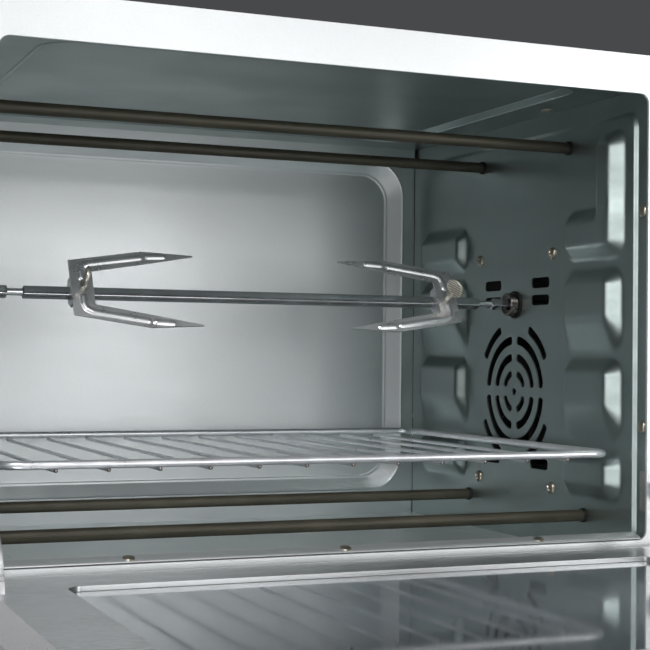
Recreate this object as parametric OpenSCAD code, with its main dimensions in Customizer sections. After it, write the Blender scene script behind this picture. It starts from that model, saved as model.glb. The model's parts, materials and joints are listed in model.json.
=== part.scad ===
// Countertop rotisserie oven with its door let down.
// Row frame: origin on the worktop under the middle of the casing, +X right, +Y back, +Z up.

/* [Casing] */
// Overall width of the casing
body_w = 560; // [560:5:600]
// Depth of the casing from the front frame to the back cover
body_d = 382; // [382:2:400]
// Height of the casing without its feet
body_h = 364; // [364:2:380]
// Height of the feet
foot_h = 22; // [22:1:26]
// Thickness of the pressed steel sheet
sheet = 0.8; // [0.7:0.1:1]

/* [Chamber] */
// Width of the cooking chamber between its side walls
chamber_w = 413; // [411:0.5:415]
// Depth from the front bend of the side walls to the back wall
chamber_d = 324; // [324:1:326]
// Height of the chamber from floor to ceiling
chamber_h = 308; // [308:1:310]
// Sideways place of the middle of the chamber
chamber_x = -46.5; // [-48.5:0.5:-44.5]
// Height of the chamber floor above the worktop
floor_z = 58; // [58:1:60]
// How far the shelf bumps stand out of the right wall
bump_h = 8; // [7:0.5:9]

/* [Heaters] */
// Diameter of a heater rod
heater_d = 8; // [7:0.5:8]
// Height of the top heaters above the chamber floor
heater_top_z = 279.4; // [276:0.2:280]
// Height of the bottom heaters above the chamber floor
heater_bottom_z = 25; // [24:0.5:27]

/* [Rotisserie] */
// Width across the flats of the spit
spit_flat = 6.5; // [6:0.1:6.5]
// Distance of the spit behind the front bend
spit_y = 154; // [152:1:156]
// Height of the spit above the chamber floor
spit_z = 171.7; // [170:0.1:173]
// Turn of the spit about its own axis
spit_turn = 30; // [0:5:45]
// Place of the left fork along the spit
fork_left_x = -122.5; // [-130:0.5:-110]
// Place of the right fork along the spit
fork_right_x = 147; // [130:0.5:147.5]

/* [Rack] */
// Height of the rack's side rails above the chamber floor
rack_z = 70; // [70:0.1:70.5]
// Diameter of the rack's rails
rail_d = 5; // [4:0.5:5]
// Diameter of the rack's cross wires
wire_d = 2.5; // [2.5:0.5:3]
// Spacing of the cross wires
wire_pitch = 30.3; // [28:0.1:31]

/* [Fan] */
// Distance of the fan behind the front bend
fan_y = 154.2; // [152:0.2:156]
// Height of the fan above the chamber floor
fan_z = 107; // [106:0.5:108]

/* [Door] */
// Width of the door
door_w = 437; // [435:1:437]
// Height of the door above its hinge line
door_h = 310; // [306:1:312]
// Thickness of the door
door_t = 20; // [20:0.5:22]
// Height of the hinge line above the worktop
hinge_z = 62; // [62:0.5:64]

/* [Controls] */
// Width of the control panel
panel_w = 100; // [96:1:100]
// Diameter of a knob
knob_d = 44; // [38:1:48]
// Depth of a knob
knob_h = 22; // [18:1:26]

/* [Hidden] */
$fn = 48;

eps = 0.01;
through = 700;
frame_t = 2;
jamb_d = 10;
top_z = foot_h + body_h;
front_y = -body_d / 2;
back_y = body_d / 2;
chamber_front = front_y + frame_t + jamb_d;
half_w = chamber_w / 2;

// Front frame opening, in the chamber's own frame
opening_half = half_w + 1.4;
opening_low = 16.5;
opening_high = 303;
floor_lip = 20.5;
flange_low = 294.5;

// Shelf bumps: lowest and highest edge of each, and the runs of their sloping sides
bump_low = [38, 77.2, 136.5, 199.5];
bump_high = [71.5, 132.3, 193, 234.5];
bump_runs = [10.5, 9, 22, 8.5];
short_runs = [10.5, 9, 9, 9];
back_front_run = 5.5;
left_bump_h = 5.5;
front_bumps_y = [14, 83];
back_bumps_y = [227.5, 304];
tall_bump_y = [11, 44];
tall_bump_top = 285;

// Fixings shared by the right wall and the motor bracket
bracket_y = [101, 206.5];
bracket_z = [40, 207];
bracket_x = 240;
screw_d = 4;

// Rivets: heights on the jambs, and places along the ceiling's side flanges
jamb_rivet_z = [88.6, 228];
jamb_rivet_y = -5;
top_rivet_x = 198.5;
top_rivet_y = [97, 250];
rivet_d = 8;

// Heater places: distance behind the front bend and height
top_front = [80.7, heater_top_z];
top_rear = [204.3, heater_top_z];
bottom_front = [59.1, heater_bottom_z];
bottom_rear = [222.7, heater_bottom_z];
heater_places = [top_front, top_rear, bottom_front, bottom_rear];
heater_hole = 9;
collar_d = 9.8;
heater_out = 14;

// Spit stations along X
spit_left = -201.5;
spit_block = [-183.5, -170.5];
spit_main = [-160.5, 175.5];
spit_drive = [186.5, 204.5];
neck_d = 4.8;
journal_d = 6;
hanger_x = -196.5;
socket_front = 198.8;
socket_d = 17.2;
bearing_d = 20.4;
hub_d = 12;
fit_gap = 0.1;

// Turn of each thumbscrew's head about its shank
left_head_turn = -76;
right_head_turn = -118;

// Fork outline along the spit (u) and across it (v)
fork_back = 7;
fork_base = 8;
fork_knee = 44;
fork_tip = 80.3;
fork_plate = 1.2;
fork_front = 4.8;
fork_rise = 1.2;

// Door, in its closed frame with the origin on the hinge line
hinge_y = front_y - door_t / 2 - 1;
door_half = door_w / 2;
window_half = 182;
window_low = 36;
window_high = door_h - 34;
glass_t = 4;
pin_d = 6;
stay_r = 45;
stay_w = 10;
stay_t = 3;
stay_x = 213.5;
handle_z = door_h - 25;
handle_y = -door_t / 2 - 32;
handle_d = 18;
post_x = 130;

// Knobs
panel_x = body_w / 2 - 2 - panel_w / 2;
panel_t = 3;
knob_z = [318, 232, 146];
lamp_z = 78;
shaft_d = 6;

// ---------- Shared shapes ----------

module in_chamber() translate([chamber_x, chamber_front, floor_z]) children();

module rod_x(x0, x1, d) translate([x0, 0, 0]) rotate([0, 90, 0]) cylinder(d = d, h = x1 - x0);

module rod_y(y0, y1, d) translate([0, y1, 0]) rotate([90, 0, 0]) cylinder(d = d, h = y1 - y0);

// Upright slab with rounded corners, centred on the origin in X and Z, from y = 0 back to y = t
module rounded_slab(w, h, t, r) {
  translate([-w / 2 + r, 0, -h / 2]) cube([w - 2 * r, t, h]);
  translate([-w / 2, 0, -h / 2 + r]) cube([w, t, h - 2 * r]);
  for (x = [-1, 1], z = [-1, 1])
    translate([x * (w / 2 - r), 0, z * (h / 2 - r)]) rod_y(0, t, 2 * r);
}

// Domed head on the plane z = 0, rising along +Z
module dome(d, h) {
  r = (d * d / 4 + h * h) / (2 * h);
  intersection() {
    translate([0, 0, h - r]) sphere(r = r);
    cylinder(d = d, h = h);
  }
}

// Slot through a wall that faces X, centred on (y, z) and long in Y
module slot_x(y, z, length, width) {
  translate([0, y, z]) {
    translate([-through / 2, -(length - width) / 2, -width / 2])
      cube([through, length - width, width]);
    for (s = [-1, 1])
      translate([0, s * (length - width) / 2, 0]) rod_x(-through / 2, through / 2, width);
  }
}

// ---------- Casing ----------

module outer_shell() color("silver") difference() {
  shell_block(body_w / 2, top_z, 10);
  translate([0, 0, -eps]) shell_block(body_w / 2 - sheet, top_z - sheet, 10 - sheet);
  for (i = [0:11])
    translate([0, 0, 250 - i * 14]) slot_x(60, 0, 90, 4);
  for (i = [0:9])
    translate([150 + i * 11, -20, top_z - 5]) cube([4, 100, 10]);
}

module shell_block(half, top, r) {
  y0 = front_y + frame_t;
  depth = body_d - 2 * frame_t;
  translate([-half, y0, foot_h]) cube([2 * half, depth, top - r - foot_h]);
  translate([-half + r, y0, foot_h]) cube([2 * half - 2 * r, depth, top - foot_h]);
  for (s = [-1, 1])
    translate([s * (half - r), 0, top - r]) rod_y(y0, y0 + depth, 2 * r);
}

cover_points = [for (x = [-1, 0, 1], z = [foot_h + 16, top_z - 16]) [x * (body_w / 2 - 16), z]];

module back_cover() color("silver") difference() {
  translate([0, back_y - frame_t, foot_h + body_h / 2]) rounded_slab(body_w, body_h, frame_t, 10);
  for (row = [0:4], i = [0:13])
    translate([-195 + i * 30, back_y - 5, 120 + row * 16]) cube([22, 10, 4]);
  for (i = [0:7])
    translate([185, back_y - 5, 230 + i * 12]) cube([60, 10, 4]);
  translate([215, 0, 80]) rod_y(back_y - 5, back_y + 5, 16);
  for (p = cover_points) translate([p[0], 0, p[1]]) rod_y(back_y - 5, back_y + 5, screw_d);
}

module cover_screws() color("dimgray")
  for (p = cover_points) translate([p[0], back_y, p[1]]) {
    rotate([-90, 0, 0]) dome(8, 2);
    rod_y(-8, 0, screw_d);
  }

module base_plate() color("silver") difference() {
  translate([-body_w / 2 + sheet, front_y + frame_t, foot_h])
    cube([body_w - 2 * sheet, body_d - 2 * frame_t, sheet]);
  for (i = [0:8])
    translate([-160 + i * 30, -90, foot_h - 1]) cube([8, 60, 4]);
}

module feet() color("black")
  for (x = [-1, 1], y = [-1, 1])
    translate([x * (body_w / 2 - 45), y * (body_d / 2 - 38), 0]) {
      cylinder(d = 34, h = 5);
      cylinder(d = 28, h = foot_h);
    }

module front_frame() color("lightslategray") difference() {
  translate([0, front_y, foot_h + body_h / 2]) rounded_slab(body_w, body_h, frame_t, 10);
  translate([chamber_x, front_y - 1, floor_z + (opening_low + opening_high) / 2])
    rounded_slab(2 * opening_half, opening_high - opening_low, frame_t + 2, 6);
  for (s = [-1, 1]) {
    translate([chamber_x + s * stay_x - 3, front_y - 1, hinge_z + 36]) cube([6, frame_t + 2, 15]);
    translate([chamber_x + s * (door_half + 2.25) - 1.35, front_y - 1, hinge_z - 10])
      cube([2.7, frame_t + 2, 20]);
  }
  for (z = knob_z) translate([panel_x, front_y, z]) rod_y(-1, frame_t + 1, 8);
  translate([panel_x, front_y, lamp_z]) rod_y(-1, frame_t + 1, 8);
}

module control_panel() color("gainsboro") difference() {
  translate([panel_x, front_y - panel_t, foot_h + body_h / 2])
    rounded_slab(panel_w, body_h - 16, panel_t, 6);
  for (z = knob_z) translate([panel_x, front_y, z]) rod_y(-panel_t - 1, 1, 8);
  translate([panel_x, front_y, lamp_z]) rod_y(-panel_t - 1, 1, 8);
}

// ---------- Chamber ----------

// Pressed bump on the plane x = 0 that stands out towards -X; lip carries it back past the wall.
// runs holds how far the front, back, lower and upper sides slope in.
module pressed(y, z, runs, h, lip) intersection() {
  translate([0, y[1], 0]) rotate([90, 0, 0]) linear_extrude(y[1] - y[0])
    polygon([[lip, z[0]], [0, z[0]], [-h, z[0] + runs[2]], [-h, z[1] - runs[3]], [0, z[1]],
             [lip, z[1]]]);
  translate([0, 0, z[0]]) linear_extrude(z[1] - z[0])
    polygon([[lip, y[0]], [0, y[0]], [-h, y[0] + runs[0]], [-h, y[1] - runs[1]], [0, y[1]],
             [lip, y[1]]]);
}

// Runs of the sides of bump i in the column y
function runs_of(i, y) =
  let (r = i < 3 && i > 0 ? bump_runs : short_runs)
  [y == back_bumps_y ? back_front_run : r[0], r[1], r[2], r[3]];

module bumps(inset, h, lip) {
  for (i = [0:3], y = [front_bumps_y, back_bumps_y])
    pressed([y[0] + inset, y[1] - inset], [bump_low[i] + inset, bump_high[i] - inset],
            runs_of(i, y), h, lip);
  pressed([tall_bump_y[0] + inset, tall_bump_y[1] - inset],
          [bump_low[3] + inset, tall_bump_top - inset], short_runs, h, lip);
}

// Side wall sheet in the chamber frame, on the right, with bumps of height h
module side_wall(h) difference() {
  union() {
    translate([half_w, -jamb_d, 0]) cube([sheet, chamber_d + jamb_d, chamber_h]);
    translate([half_w, 0, 0]) bumps(0, h, 0);
  }
  translate([half_w, 0, 0]) bumps(sheet, h - sheet, sheet + 1);
  for (p = heater_places) translate([half_w, p[0], p[1]]) rod_x(-5, 5, heater_hole);
  for (z = jamb_rivet_z) translate([half_w, jamb_rivet_y, z]) rod_x(-5, 5, screw_d);
}

// Arc slots of one ring of the grille, cut by an upright and a level bar
module ring_slots(r, w, bar_y, bar_z) rotate([0, 90, 0]) difference() {
  cylinder(r = r + w / 2, h = 10, center = true);
  cylinder(r = r - w / 2, h = 12, center = true);
  cube([bar_z, 200, 14], center = true);
  cube([200, bar_y, 14], center = true);
}

// Middle radius and width of the grille's full rings, and the bars that divide them
grille_rings = [[13.7, 5.2], [25.6, 6], [38.2, 6.4]];
grille_bar = 6.8;

module fan_grille() {
  rod_x(-5, 5, 5.6);
  for (ring = grille_rings) ring_slots(ring[0], ring[1], grille_bar, grille_bar);
  ring_slots(50, 6.2, 42, 41);
}

vents = [[117.6, 186.7], [186.5, 186.7], [117.9, 174.2], [186.5, 174.2], [118.2, 55.7], [187.5, 55.7]];
vent_length = 24.2;
vent_width = 7.7;

module chamber_right_wall() color("lightslategray") in_chamber() difference() {
  side_wall(bump_h);
  for (v = vents) translate([half_w, 0, 0]) intersection() {
    slot_x(v[0], v[1], vent_length, vent_width);
    translate([-5, 0, 0]) cube([10, chamber_d, chamber_h]);
  }
  translate([half_w, fan_y, fan_z]) fan_grille();
  translate([half_w, spit_y, spit_z]) rod_x(-5, 5, 14);
  for (y = bracket_y, z = bracket_z) translate([half_w, y, z]) rod_x(-5, 5, screw_d);
}

module chamber_left_wall() color("lightslategray") in_chamber() mirror([1, 0, 0]) difference() {
  side_wall(left_bump_h);
  for (s = [-1, 1]) translate([half_w, spit_y + s * 24, spit_z]) rod_x(-5, 5, screw_d);
}

module back_press(half_x, z0, z1, y, t, r) hull()
  for (s = [-1, 1], z = [z0 + r, z1 - r])
    translate([s * (half_x - r), y, z]) rotate([-90, 0, 0]) cylinder(r = r, h = t, $fn = 32);

module back_panel(inset, depth, y) hull() {
  back_press(195.5 - inset, 19.8 + inset, 296.8 - inset, y, eps, 30 - inset);
  back_press(182.3 - inset, 31.4 + inset, 285.2 - inset, y + depth, eps, 23 - inset);
}

module chamber_back_wall() color("silver") in_chamber() difference() {
  union() {
    translate([-half_w - sheet, chamber_d, 0]) cube([chamber_w + 2 * sheet, sheet, chamber_h]);
    back_panel(0, 6 + sheet, chamber_d);
  }
  back_panel(sheet, 6, chamber_d - eps);
}

// Ceiling sheet with a raised middle panel and a side flange over each wall
module chamber_ceiling() color("lightslategray") in_chamber() {
  difference() {
    union() {
      translate([-half_w - sheet, -jamb_d, chamber_h])
        cube([chamber_w + 2 * sheet, chamber_d + jamb_d + sheet, sheet]);
      translate([0, 0, chamber_h]) ceiling_press(0, 3 + sheet);
    }
    translate([0, 0, chamber_h - eps]) ceiling_press(sheet, 3 + eps);
    for (s = [-1, 1], y = top_rivet_y)
      translate([s * top_rivet_x, y, chamber_h - 2]) cylinder(d = screw_d, h = 5);
  }
  for (s = [-1, 1])
    translate([s * (half_w - sheet / 2) - sheet / 2, 0, flange_low])
      cube([sheet, chamber_d, chamber_h - flange_low + eps]);
}

module ceiling_press(inset, h) rotate([0, 90, 0])
  pressed([147 + inset, 300 - inset], [-177.5 + inset, 177.5 - inset], [5, 5, 5, 5], h, 0);

// Floor sheet with a front upstand that is folded forward over the front frame
module chamber_floor() color("lightslategray") in_chamber() {
  translate([-half_w - sheet, -sheet, -sheet]) cube([chamber_w + 2 * sheet, chamber_d + 2 * sheet, sheet]);
  translate([-half_w, 0, 0]) rotate([90, 0, 90]) linear_extrude(chamber_w)
    polygon([[0, -sheet / 2], [0, floor_lip], [-jamb_d, opening_low + sheet], [-jamb_d, opening_low],
             [-sheet, floor_lip - 1.2 * sheet], [-sheet, -sheet / 2]]);
}

module chamber_rivets() color("dimgray") in_chamber() {
  for (s = [-1, 1], z = jamb_rivet_z)
    translate([s * half_w, jamb_rivet_y, z]) rotate([0, -90 * s, 0]) rivet();
  for (s = [-1, 1], y = top_rivet_y)
    translate([s * top_rivet_x, y, chamber_h]) rotate([180, 0, 0]) rivet();
}

module rivet() {
  dome(rivet_d, 1.6);
  translate([0, 0, -2]) cylinder(d = screw_d, h = 2);
}

module wall_screws() color("dimgray") in_chamber()
  for (y = bracket_y, z = bracket_z) translate([half_w, y, z]) {
    rotate([0, -90, 0]) dome(8.5, 2.4);
    rod_x(0, 30, screw_d);
  }

// ---------- Heaters ----------

module heater(place) color("darkolivegreen") in_chamber()
  translate([0, place[0], place[1]]) rod_x(-half_w - heater_out, half_w + heater_out, heater_d);

module heater_collars() color("dimgray") in_chamber()
  for (s = [0, 1], p = heater_places)
    mirror([s, 0, 0]) translate([half_w, p[0], p[1]]) difference() {
      union() {
        rod_x(-2, 0, collar_d);
        rod_x(0, 4, heater_hole);
      }
      rod_x(-3, 5, heater_d);
    }

module heater_terminals() color("white") in_chamber()
  for (s = [0, 1], p = heater_places)
    mirror([s, 0, 0]) translate([half_w + heater_out, p[0], p[1]]) {
      rod_x(0, 2, 7);
      rod_x(2, 11, 3);
    }

// ---------- Rotisserie ----------

// Frame on the spit's axis, turned with the spit: +X along it, -Y out of the forks' plates
module on_spit() in_chamber() translate([0, spit_y, spit_z]) rotate([-spit_turn, 0, 0]) children();

module square_rod(x0, x1, flat) translate([x0, -flat / 2, -flat / 2]) cube([x1 - x0, flat, flat]);

module spit_rod() color("silver") on_spit() {
  rod_x(spit_left, spit_block[0], journal_d);
  square_rod(spit_block[0], spit_block[1], spit_flat);
  rod_x(spit_block[1], spit_main[0], neck_d);
  square_rod(spit_main[0], spit_main[1], spit_flat);
  rod_x(spit_main[1], spit_drive[0], neck_d);
  square_rod(spit_drive[0], spit_drive[1], spit_flat);
}

module spit_bearing() color("dimgray") in_chamber() translate([half_w, spit_y, spit_z]) difference() {
  union() {
    rod_x(-1.5, 0, bearing_d);
    rod_x(0, 5, 14);
  }
  rod_x(-2, 6, hub_d + fit_gap);
}

module spit_socket() color("silver") on_spit() difference() {
  union() {
    rod_x(socket_front, half_w - 1.6, socket_d);
    rod_x(half_w - 1.6, half_w + 8, hub_d);
  }
  rod_x(socket_front - 1, socket_front + 1.5, 12);
  square_rod(socket_front - 1, spit_drive[1] + 1, spit_flat + 0.2);
  rod_x(half_w, half_w + 9, 8);
}

module drive_shaft() color("gray") on_spit() rod_x(half_w, bracket_x + 12, 8);

module rotisserie_motor() color("silver") in_chamber() translate([0, spit_y, spit_z]) difference() {
  union() {
    rod_x(bracket_x + sheet, bracket_x + 6, 18);
    rod_x(bracket_x + 6, bracket_x + 26, 50);
  }
  rod_x(bracket_x, bracket_x + 12 + fit_gap, 8 + fit_gap);
}

module motor_bracket() color("gray") in_chamber() difference() {
  translate([bracket_x, 92, 30]) cube([sheet, 124, 187]);
  translate([bracket_x, spit_y, spit_z]) rod_x(-1, 3, 12);
  translate([bracket_x, fan_y, fan_z]) rod_x(-1, 3, 10);
  for (y = bracket_y, z = bracket_z) translate([bracket_x, y, z]) rod_x(-1, 3, screw_d);
}

module bracket_spacers() color("silver") in_chamber()
  for (y = bracket_y, z = bracket_z) translate([half_w, y, z]) difference() {
    rod_x(sheet, bracket_x - half_w, 9);
    rod_x(0, bracket_x - half_w + 1, screw_d);
  }

// Fork with its hub on the origin and its prongs along +X
module fork() {
  difference() {
    translate([0, -fork_front, fork_rise]) rotate([90, 0, 0]) linear_extrude(fork_plate)
      polygon([[-fork_back, -21], [fork_knee, -29.8], [fork_tip, -28], [fork_tip, -27.2],
               [fork_knee - 2, -19.5], [fork_base, -13], [fork_base, 13], [fork_knee - 2, 19.5],
               [fork_tip, 27.2], [fork_tip, 28], [fork_knee, 29.8], [-fork_back, 21]]);
    rod_y(-10, 0, screw_d + fit_gap);
  }
  for (x = [-fork_back, fork_base - fork_plate])
    difference() {
      translate([x, -fork_front - eps, -10]) cube([fork_plate, 2 * fork_front + 1.2, 20]);
      square_rod(x - 1, x + fork_plate + 1, spit_flat + 0.2);
    }
}

// Thumbscrew that clamps a fork on the spit; its flat round head is turned about its shank
module fork_screw(turn) {
  rod_y(-15, -spit_flat / 2 - 0.05, screw_d);
  rod_y(-15, -11.5, 5.5);
  rotate([0, turn, 0]) translate([0, -20.5, -1.1]) cylinder(r = 7.2, h = 2.2);
}

module fork_left() color("silver") on_spit() translate([fork_left_x, 0, 0]) fork();
module fork_right() color("silver") on_spit() translate([fork_right_x, 0, 0]) mirror([1, 0, 0]) fork();
module fork_screw_left() color("gainsboro") on_spit()
  translate([fork_left_x, 0, 0]) fork_screw(left_head_turn);
module fork_screw_right() color("gainsboro") on_spit()
  translate([fork_right_x, 0, 0]) fork_screw(right_head_turn);

// Bracket on the left wall whose notch carries the spit's end
module spit_hanger() color("silver") in_chamber() translate([0, spit_y, spit_z]) difference() {
  union() {
    translate([hanger_x, -15, -16]) cube([2, 30, 30]);
    for (s = [-1, 1])
      translate([-half_w, s * 14 - 1, -16]) cube([half_w + hanger_x + eps, 2, 30]);
    translate([-half_w, -32, -8]) cube([1.2, 18, 16]);
    translate([-half_w, 14, -8]) cube([1.2, 18, 16]);
  }
  rod_x(hanger_x - 1, hanger_x + 3, journal_d + fit_gap);
  translate([hanger_x - 1, -(journal_d + fit_gap) / 2, 0]) cube([4, journal_d + fit_gap, 20]);
  for (s = [-1, 1]) translate([0, s * 24, 0]) rod_x(-half_w - 1, -half_w + 3, screw_d);
}

module hanger_screws() color("dimgray") in_chamber()
  for (s = [-1, 1]) translate([-half_w + 1.2, spit_y + s * 24, spit_z]) {
    rotate([0, 90, 0]) dome(8, 2);
    rod_x(-6, 0, screw_d);
  }

// ---------- Convection fan ----------

module on_fan() in_chamber() translate([0, fan_y, fan_z]) children();

module fan_wheel() color("silver") on_fan() difference() {
  union() {
    rod_x(226, 226.8, 92);
    rod_x(216, 232, 16);
    for (i = [0:9]) rotate([i * 36, 0, 0]) translate([213, 10, -0.4]) cube([13.5, 34, 0.8]);
  }
  rod_x(210, 240, 5);
}

module fan_shaft() color("gray") on_fan() rod_x(215, 252, 5);

module fan_housing() color("gray") on_fan() difference() {
  rod_x(half_w + sheet, 236, 108);
  rod_x(half_w, 236 - sheet, 106.4);
  rod_x(half_w, 240, 12);
}

module fan_motor() color("dimgray") on_fan() difference() {
  union() {
    translate([bracket_x + 6, -30, -25]) cube([20, 60, 50]);
    translate([bracket_x + 2, -14, -22]) cube([28, 28, 44]);
    rod_x(bracket_x + sheet, bracket_x + 3, 16);
  }
  rod_x(bracket_x, 252 + fit_gap, 5 + fit_gap);
}

// ---------- Wire rack ----------

rack_x = -1.7;
rail_x = 199.3;
rack_front = 14;
rack_back = 311;
rack_r = 14;

module wire_rack() color("silver") in_chamber() translate([rack_x, 0, rack_z]) {
  for (s = [-1, 1]) translate([s * rail_x, 0, 0]) rod_y(rack_front + rack_r, rack_back - rack_r, rail_d);
  for (y = [rack_front, rack_back]) translate([0, y, 0]) rod_x(-rail_x + rack_r, rail_x - rack_r, rail_d);
  for (s = [0, 1], t = [0, 1])
    translate([0, (rack_front + rack_back) / 2, 0]) mirror([s, 0, 0]) mirror([0, t, 0])
      translate([rail_x - rack_r, (rack_back - rack_front) / 2 - rack_r, 0])
        rotate_extrude(angle = 90) translate([rack_r, 0]) circle(d = rail_d);
  for (i = [-5.5:5.5])
    translate([i * wire_pitch, 0, -rail_d / 2 - wire_d / 2 + 0.4])
      rod_y(rack_front - 1.5, rack_back + 1.5, wire_d);
}

// ---------- Door ----------

// Places a door piece, drawn closed with the origin on the hinge line, as the door hangs open
module let_down() translate([chamber_x, hinge_y, hinge_z]) rotate([90, 0, 0]) children();

// Block of the door's outline with a rounded foot around the hinge line
module door_block(half, r, top) {
  translate([-half, -r, 0]) cube([2 * half, 2 * r, top]);
  rod_x(-half, half, 2 * r);
}

module window(half, y0, y1, low, high)
  translate([0, y0, (low + high) / 2]) rounded_slab(2 * half, high - low, y1 - y0, 10);

module door_frame() color("silver") let_down() difference() {
  door_block(door_half, door_t / 2, door_h);
  difference() {
    union() {
      door_block(door_half - sheet, door_t / 2 - sheet, door_h - sheet);
      translate([-door_half + sheet, 0, 12]) cube([door_w - 2 * sheet, door_t, door_h - 12 - sheet]);
    }
    window(window_half + sheet, -door_t, 3, window_low - sheet, window_high + sheet);
  }
  window(window_half, -door_t, door_t, window_low, window_high);
  for (s = [-1, 1]) {
    translate([s * (door_half - 4), 0, 0]) rod_x(-6, 6, pin_d + fit_gap);
    translate([s * post_x, 0, handle_z]) rod_y(-door_t, 0, screw_d);
  }
}

module door_inner_panel() color("silver") let_down() difference() {
  union() {
    translate([-door_half + sheet, door_t / 2 - sheet, 12 + eps])
      cube([door_w - 2 * sheet, sheet, door_h - 12 - sheet - eps]);
    window(window_half - 2 + sheet, 3 + glass_t, door_t / 2, window_low + 2 - sheet, window_high - 2 + sheet);
  }
  window(window_half - 2, 0, door_t, window_low + 2, window_high - 2);
  for (s = [-1, 1]) translate([s * stay_x - stay_t / 2 - 0.1, 0, 36]) cube([stay_t + 0.2, door_t, 16]);
}

module door_glass() color("darkslategray", 0.4) let_down()
  translate([0, 3, (window_low + window_high) / 2])
    rounded_slab(2 * window_half + 16, window_high - window_low + 16, glass_t, 8);

module door_handle() color("silver") let_down() translate([0, handle_y, handle_z]) {
  rod_x(-165, 165, handle_d);
  for (s = [0, 1]) mirror([s, 0, 0]) rod_x(165, 172, 20);
}

module handle_posts() color("dimgray") let_down()
  for (s = [-1, 1]) translate([s * post_x, 0, handle_z]) difference() {
    union() {
      rod_y(handle_y + handle_d / 2 - 0.6, -door_t / 2, 12);
      rod_y(-door_t / 2 - 3, -door_t / 2, 16);
    }
    translate([-20, handle_y, 0]) rod_x(0, 40, handle_d);
    rod_y(-door_t - 6, 0, screw_d);
  }

module handle_screws() color("dimgray") let_down()
  for (s = [-1, 1]) translate([s * post_x, 0, handle_z]) {
    rod_y(-door_t - 5, -door_t / 2 + sheet, screw_d);
    translate([0, -door_t / 2 + sheet, 0]) rotate([-90, 0, 0]) dome(8, 2.4);
  }

module hinge_bushes() color("white") let_down()
  for (s = [0, 1]) mirror([s, 0, 0]) difference() {
    rod_x(door_half - sheet - 9, door_half - sheet, 14);
    rod_x(door_half - 11, door_half, pin_d + fit_gap);
  }

// Ring sector about the hinge line, from angle a0 to a1 measured up from +Y
module arc_band(r0, r1, t, a0, a1) rotate([90, 0, 90]) translate([0, 0, -t / 2]) intersection() {
  difference() {
    cylinder(r = r1, h = t);
    translate([0, 0, -1]) cylinder(r = r0, h = t + 2);
  }
  linear_extrude(t)
    polygon([[0, 0], for (i = [0:4]) let (a = a0 + (a1 - a0) * i / 4) 2 * r1 * [cos(a), sin(a)]]);
}

module door_stays() color("silver") let_down()
  for (s = [-1, 1]) translate([s * stay_x, 0, 0]) {
    arc_band(stay_r - stay_w / 2, stay_r + stay_w / 2, stay_t, -33, 95);
    arc_band(stay_r - stay_w / 2 - 2, stay_r + stay_w / 2 + 2, stay_t, -38, -32);
    translate([s > 0 ? -12 : 0, door_t / 2 - sheet - 1.5, 37]) cube([12, 1.5, 14]);
  }

module stay_guides() color("white") translate([chamber_x, hinge_y, hinge_z])
  for (s = [-1, 1]) translate([s * (stay_x + 0.5), 0, 0]) difference() {
    translate([-5.5, door_t / 2 + 1 + frame_t, 30]) cube([11, 7, 26]);
    translate([-s * 0.5, 0, 0])
      arc_band(stay_r - stay_w / 2 - 0.3, stay_r + stay_w / 2 + 0.3, stay_t + 0.4, 10, 110);
  }

module hinge_brackets() color("silver") translate([chamber_x, hinge_y, hinge_z])
  for (s = [0, 1]) mirror([s, 0, 0]) translate([door_half + 1, 0, 0]) difference() {
    union() {
      rod_x(0, 2.5, 18);
      translate([0, 0, -9]) cube([2.5, door_t / 2 + 1 + frame_t + 2, 18]);
      translate([0, door_t / 2 + 1 + frame_t, -9]) cube([12, 2, 18]);
    }
    rod_x(-1, 4, pin_d);
  }

module hinge_pins() color("gray") translate([chamber_x, hinge_y, hinge_z])
  for (s = [0, 1]) mirror([s, 0, 0]) rod_x(door_half - 9, door_half + 3.5, pin_d);

// ---------- Controls ----------

module knob(z) color("black") translate([panel_x, front_y - panel_t - 0.5, z]) difference() {
  union() {
    rod_y(-4, 0, knob_d);
    rod_y(-knob_h, -4, knob_d - 8);
    translate([-3, -knob_h, 0]) cube([6, knob_h - 4, knob_d / 2 - 1]);
    rod_y(0, 25, shaft_d);
  }
  translate([-1, -knob_h - 1, 6]) cube([2, 2, knob_d / 2]);
}

// Box behind the panel that a knob's shaft turns in
module control_box(z, w, d, h) color("saddlebrown") translate([panel_x, front_y + frame_t, z]) difference() {
  union() {
    translate([-w / 2, 4, -h / 2]) cube([w, d, h]);
    rod_y(0, 4, 14);
  }
  rod_y(-1, 25 - frame_t, shaft_d + fit_gap);
}

module indicator_lamp() color("red") translate([panel_x, front_y - panel_t, lamp_z]) {
  rod_y(0, panel_t + frame_t + 14, 8);
  rotate([90, 0, 0]) dome(11, 3);
}

module cord_bushing() color("black") translate([215, back_y, 80]) difference() {
  union() {
    rod_y(-frame_t, 0, 16);
    rod_y(-frame_t - 3, -frame_t, 20);
    rod_y(0, 5, 20);
  }
  rod_y(-10, 8, 8);
}

outer_shell();
back_cover();
cover_screws();
base_plate();
feet();
front_frame();
control_panel();
chamber_right_wall();
chamber_left_wall();
chamber_back_wall();
chamber_ceiling();
chamber_floor();
chamber_rivets();
wall_screws();
heater(top_front);  // heater_top_front
heater(top_rear);  // heater_top_rear
heater(bottom_front);  // heater_bottom_front
heater(bottom_rear);  // heater_bottom_rear
heater_collars();
heater_terminals();
spit_bearing();
spit_socket();
drive_shaft();
rotisserie_motor();
motor_bracket();
bracket_spacers();
spit_rod();
fork_left();
fork_right();
fork_screw_left();
fork_screw_right();
spit_hanger();
hanger_screws();
fan_wheel();
fan_shaft();
fan_housing();
fan_motor();
wire_rack();
door_frame();
door_inner_panel();
door_glass();
door_handle();
handle_posts();
handle_screws();
hinge_bushes();
door_stays();
stay_guides();
hinge_brackets();
hinge_pins();
knob(knob_z[0]);  // function_knob
knob(knob_z[1]);  // temperature_knob
knob(knob_z[2]);  // timer_knob
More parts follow.
